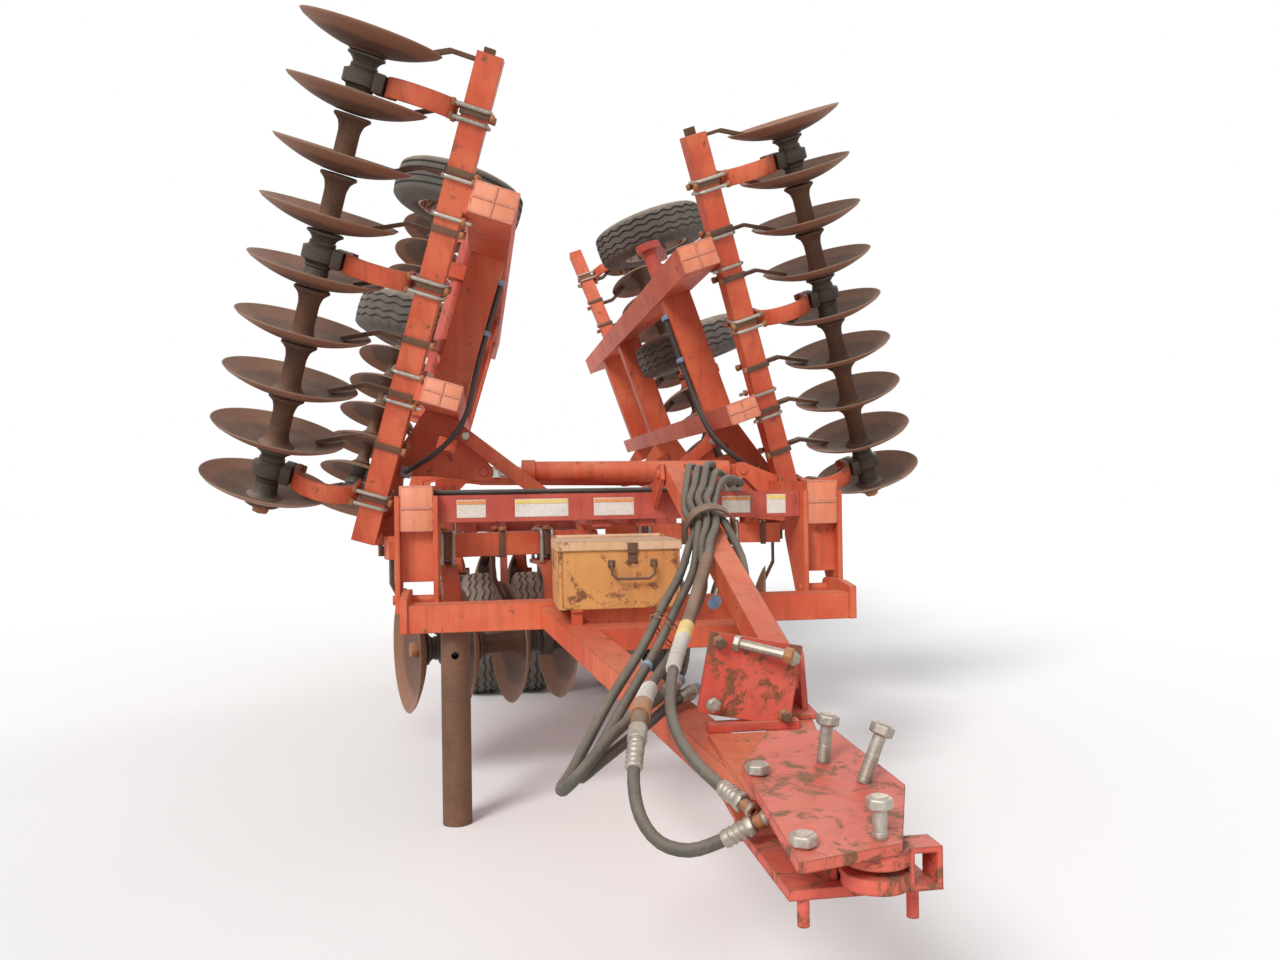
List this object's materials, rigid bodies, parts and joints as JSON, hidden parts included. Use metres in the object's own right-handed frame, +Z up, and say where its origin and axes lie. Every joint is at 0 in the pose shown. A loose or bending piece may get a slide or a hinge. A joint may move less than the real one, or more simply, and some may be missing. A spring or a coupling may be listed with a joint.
{
  "type": "folding tandem disc harrow",
  "caption": "Tractor-drawn folding tandem disc harrow in transport: raised wings with gangs of dished discs on a wheeled centre frame, with tongue, lift wheels and fold cylinders.",
  "frame": {"origin": "on the ground, under the middle of the machine", "axes": "+X to the right seen from the front, +Y rearwards, +Z up"},
  "size_m": [3.5165, 7.4638, 3.4254],
  "materials": {
    "faded_red_paint": "faded, chalky in the sun",
    "shaded_red_paint": "deeper red, dusty",
    "hitch_red_paint": "chipped to rust",
    "worn_disc_steel": "rust brown, worn",
    "rusty_steel": "rusted",
    "tyre_rubber": "dusty",
    "toolbox_paint": "rusted through old yellow paint",
    "toolbox_lid_paint": "faded and rusted",
    "rod_chrome": "bright",
    "black_iron": "satin",
    "zinc_plate": "dull",
    "hose_rubber": "dusty"
  },
  "bodies": {
    "centre_frame": {"main_beams": "faded_red_paint", "frame_cross_tubes": "shaded_red_paint", "front_uprights": "faded_red_paint", "fold_lugs": "faded_red_paint", "centre_gang_bars": "faded_red_paint", "centre_hangers": "faded_red_paint", "centre_scrapers": "rusty_steel", "level_bracket": "faded_red_paint", "valve_block": "zinc_plate"},
    "tongue": {"tongue_frame": "faded_red_paint", "hitch_tower": "hitch_red_paint", "hitch_plate": "hitch_red_paint", "hitch_clevis": "hitch_red_paint", "toolbox": "toolbox_paint", "parking_post": "rusty_steel"},
    "toolbox_lid": {"toolbox_lid": "toolbox_lid_paint"},
    "level_link": {"level_link": "faded_red_paint", "hose_ring": "black_iron", "hose_couplers": "zinc_plate", "hose_left": "hose_rubber", "hose_middle": "hose_rubber", "hose_loop": "hose_rubber", "hose_taped": "hose_rubber", "hose_right": "hose_rubber"},
    "wing_left": {"wing_frame_left": "faded_red_paint", "wing_gang_bars_left": "faded_red_paint", "wing_hangers_left": "faded_red_paint", "wing_scrapers_left": "rusty_steel"},
    "gang_wing_front_left": {"gang_wing_front_left": "worn_disc_steel"},
    "gang_front_left": {"gang_front_left": "worn_disc_steel"},
    "gang_wing_rear_left": {"gang_wing_rear_left": "worn_disc_steel"},
    "gang_rear_left": {"gang_rear_left": "worn_disc_steel"},
    "rockshaft_left": {"rockshaft_left": "shaded_red_paint"},
    "wheel_wing_inner_left": {"wheel_wing_inner_left": "tyre_rubber"},
    "wheel_wing_outer_left": {"wheel_wing_outer_left": "tyre_rubber"},
    "fold_barrel_left": {"fold_barrel_left": "faded_red_paint"},
    "fold_rod_left": {"fold_rod_left": "rod_chrome"},
    "wing_right": {"wing_frame_right": "faded_red_paint", "wing_gang_bars_right": "faded_red_paint", "wing_hangers_right": "faded_red_paint", "wing_scrapers_right": "rusty_steel"},
    "gang_wing_front_right": {"gang_wing_front_right": "worn_disc_steel"},
    "gang_front_right": {"gang_front_right": "worn_disc_steel"},
    "gang_wing_rear_right": {"gang_wing_rear_right": "worn_disc_steel"},
    "gang_rear_right": {"gang_rear_right": "worn_disc_steel"},
    "rockshaft_right": {"rockshaft_right": "shaded_red_paint"},
    "wheel_wing_inner_right": {"wheel_wing_inner_right": "tyre_rubber"},
    "wheel_wing_outer_right": {"wheel_wing_outer_right": "tyre_rubber"},
    "fold_barrel_right": {"fold_barrel_right": "faded_red_paint"},
    "fold_rod_right": {"fold_rod_right": "rod_chrome"},
    "rockshaft_centre": {"rockshaft_centre": "shaded_red_paint"},
    "wheel_centre_outer_left": {"wheel_centre_outer_left": "tyre_rubber"},
    "wheel_centre_inner_left": {"wheel_centre_inner_left": "tyre_rubber"},
    "wheel_centre_outer_right": {"wheel_centre_outer_right": "tyre_rubber"},
    "wheel_centre_inner_right": {"wheel_centre_inner_right": "tyre_rubber"}
  },
  "joints": [
    {"name": "tongue_tilt", "type": "hinge", "parent": "centre_frame", "child": "tongue", "pos_m": [0, -1.18, 0.83], "axis": [-1, 0, 0], "range_deg": [-4, 4]},
    {"name": "link_tilt", "type": "hinge", "parent": "centre_frame", "child": "level_link", "pos_m": [0.18, -1.325, 1.31], "axis": [-1, 0, 0], "range_deg": [-4, 4]},
    {"name": "toolbox_lid", "type": "hinge", "parent": "tongue", "child": "toolbox_lid", "pos_m": [-0.102, -1.455, 1.076], "axis": [-1, 0, 0], "range_deg": [0, 95]},
    {"name": "fold_left", "type": "hinge", "parent": "centre_frame", "child": "wing_left", "pos_m": [-1.016, -0.626, 1.066], "axis": [0, -1, 0], "range_deg": [0, 106.5]},
    {"name": "gang_wing_front_left", "type": "hinge", "parent": "wing_left", "child": "gang_wing_front_left", "pos_m": [-1.48192, -0.811, 1.23947], "axis": [0.273, -0.2756, 0.9217], "continuous": true},
    {"name": "gang_front_left", "type": "hinge", "parent": "centre_frame", "child": "gang_front_left", "pos_m": [-0.60974, -0.68476, 0.57], "axis": [-0.9613, -0.2756, 0], "continuous": true},
    {"name": "gang_wing_rear_left", "type": "hinge", "parent": "wing_left", "child": "gang_wing_rear_left", "pos_m": [-1.48192, 2.18, 1.23947], "axis": [0.273, 0.2756, 0.9217], "continuous": true},
    {"name": "gang_rear_left", "type": "hinge", "parent": "centre_frame", "child": "gang_rear_left", "pos_m": [-0.60974, 2.05376, 0.57], "axis": [-0.9613, 0.2756, 0], "continuous": true},
    {"name": "wing_lift_left", "type": "hinge", "parent": "wing_left", "child": "rockshaft_left", "pos_m": [-0.77609, 0.22, 2.03788], "axis": [0.284, 0, 0.9588], "range_deg": [0, 55]},
    {"name": "wheel_wing_inner_left", "type": "hinge", "parent": "rockshaft_left", "child": "wheel_wing_inner_left", "pos_m": [-0.89933, 0.73, 2.2204], "axis": [0.284, 0, 0.9588], "continuous": true},
    {"name": "wheel_wing_outer_left", "type": "hinge", "parent": "rockshaft_left", "child": "wheel_wing_outer_left", "pos_m": [-0.67723, 0.73, 2.9702], "axis": [0.284, 0, 0.9588], "continuous": true},
    {"name": "fold_barrel_left", "type": "hinge", "parent": "centre_frame", "child": "fold_barrel_left", "pos_m": [0.64, -0.626, 1.335], "axis": [0, 1, 0], "range_deg": [0, 2.28]},
    {"name": "fold_rod_left", "type": "slide", "parent": "fold_barrel_left", "child": "fold_rod_left", "axis": [-1, 0, 0.0041], "range_m": [0, 0.84952]},
    {"name": "fold_right", "type": "hinge", "parent": "centre_frame", "child": "wing_right", "pos_m": [1.016, 0.054, 1.066], "axis": [0, 1, 0], "range_deg": [0, 109.5]},
    {"name": "gang_wing_front_right", "type": "hinge", "parent": "wing_right", "child": "gang_wing_front_right", "pos_m": [1.4722, -0.131, 1.26362], "axis": [-0.3209, -0.2756, 0.9061], "continuous": true},
    {"name": "gang_front_right", "type": "hinge", "parent": "centre_frame", "child": "gang_front_right", "pos_m": [0.60974, -0.00476, 0.57], "axis": [0.9613, -0.2756, 0], "continuous": true},
    {"name": "gang_wing_rear_right", "type": "hinge", "parent": "wing_right", "child": "gang_wing_rear_right", "pos_m": [1.4722, 2.86, 1.26362], "axis": [-0.3209, 0.2756, 0.9061], "continuous": true},
    {"name": "gang_rear_right", "type": "hinge", "parent": "centre_frame", "child": "gang_rear_right", "pos_m": [0.60974, 2.73376, 0.57], "axis": [0.9613, 0.2756, 0], "continuous": true},
    {"name": "wing_lift_right", "type": "hinge", "parent": "wing_right", "child": "rockshaft_right", "pos_m": [0.72555, 0.9, 2.024], "axis": [0.3338, 0, -0.9426], "range_deg": [0, 55]},
    {"name": "wheel_wing_inner_right", "type": "hinge", "parent": "rockshaft_right", "child": "wheel_wing_inner_right", "pos_m": [0.83907, 1.41, 2.21271], "axis": [-0.3338, 0, 0.9426], "continuous": true},
    {"name": "wheel_wing_outer_right", "type": "hinge", "parent": "rockshaft_right", "child": "wheel_wing_outer_right", "pos_m": [0.57803, 1.41, 2.94986], "axis": [-0.3338, 0, 0.9426], "continuous": true},
    {"name": "fold_barrel_right", "type": "hinge", "parent": "centre_frame", "child": "fold_barrel_right", "pos_m": [-0.64, 0.054, 1.335], "axis": [0, -1, 0], "range_deg": [0, 3.45]},
    {"name": "fold_rod_right", "type": "slide", "parent": "fold_barrel_right", "child": "fold_rod_right", "axis": [0.9999, 0, -0.0163], "range_m": [0, 0.86308]},
    {"name": "centre_lift", "type": "hinge", "parent": "centre_frame", "child": "rockshaft_centre", "pos_m": [0, 1.57, 1.04], "axis": [-1, 0, 0], "range_deg": [0, 40]},
    {"name": "wheel_centre_outer_left", "type": "hinge", "parent": "rockshaft_centre", "child": "wheel_centre_outer_left", "pos_m": [-0.584, 1.18, 0.37], "axis": [1, 0, 0], "continuous": true},
    {"name": "wheel_centre_inner_left", "type": "hinge", "parent": "rockshaft_centre", "child": "wheel_centre_inner_left", "pos_m": [-0.276, 1.18, 0.37], "axis": [1, 0, 0], "continuous": true},
    {"name": "wheel_centre_outer_right", "type": "hinge", "parent": "rockshaft_centre", "child": "wheel_centre_outer_right", "pos_m": [0.584, 1.18, 0.37], "axis": [1, 0, 0], "continuous": true},
    {"name": "wheel_centre_inner_right", "type": "hinge", "parent": "rockshaft_centre", "child": "wheel_centre_inner_right", "pos_m": [0.276, 1.18, 0.37], "axis": [1, 0, 0], "continuous": true}
  ],
  "couplings": [
    {"joint": "link_tilt", "follows": "tongue_tilt", "ratio": 0.979},
    {"joint": "fold_barrel_left", "follows": "fold_left", "ratio": 0.021432},
    {"joint": "fold_rod_left", "follows": "fold_left", "m_per_rad": 0.45702},
    {"joint": "fold_barrel_right", "follows": "fold_right", "ratio": 0.031497},
    {"joint": "fold_rod_right", "follows": "fold_right", "m_per_rad": 0.4516}
  ]
}
